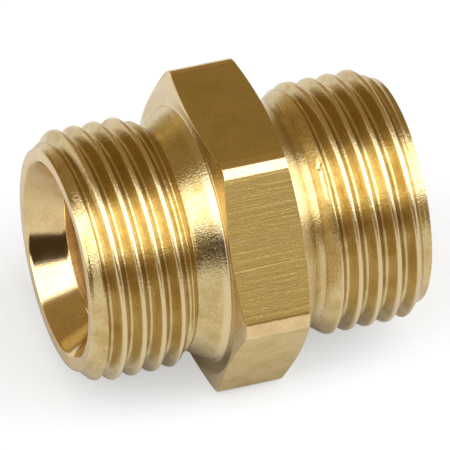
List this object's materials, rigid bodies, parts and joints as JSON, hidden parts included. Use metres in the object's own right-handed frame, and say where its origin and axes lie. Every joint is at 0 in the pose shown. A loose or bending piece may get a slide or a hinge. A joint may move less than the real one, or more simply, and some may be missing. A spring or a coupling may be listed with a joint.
{
  "type": "hex nipple",
  "caption": "One-piece brass double male pipe nipple with a hexagon, parallel pipe threads and coned seats",
  "frame": {"origin": "on the nipple's axis, at the middle of the hexagon, which is the centre of its bounding box", "axes": "+X along the nipple's axis, +Z square to the hexagon's top flat, +Y across the hexagon's corners"},
  "size_m": [0.0232, 0.0214, 0.019],
  "materials": {
    "brass": "bare brass: bright turned threads, necks, seats and bore, and satin drawn hexagon flats"
  },
  "bodies": {
    "root": {"nipple_body": "brass"}
  },
  "joints": []
}
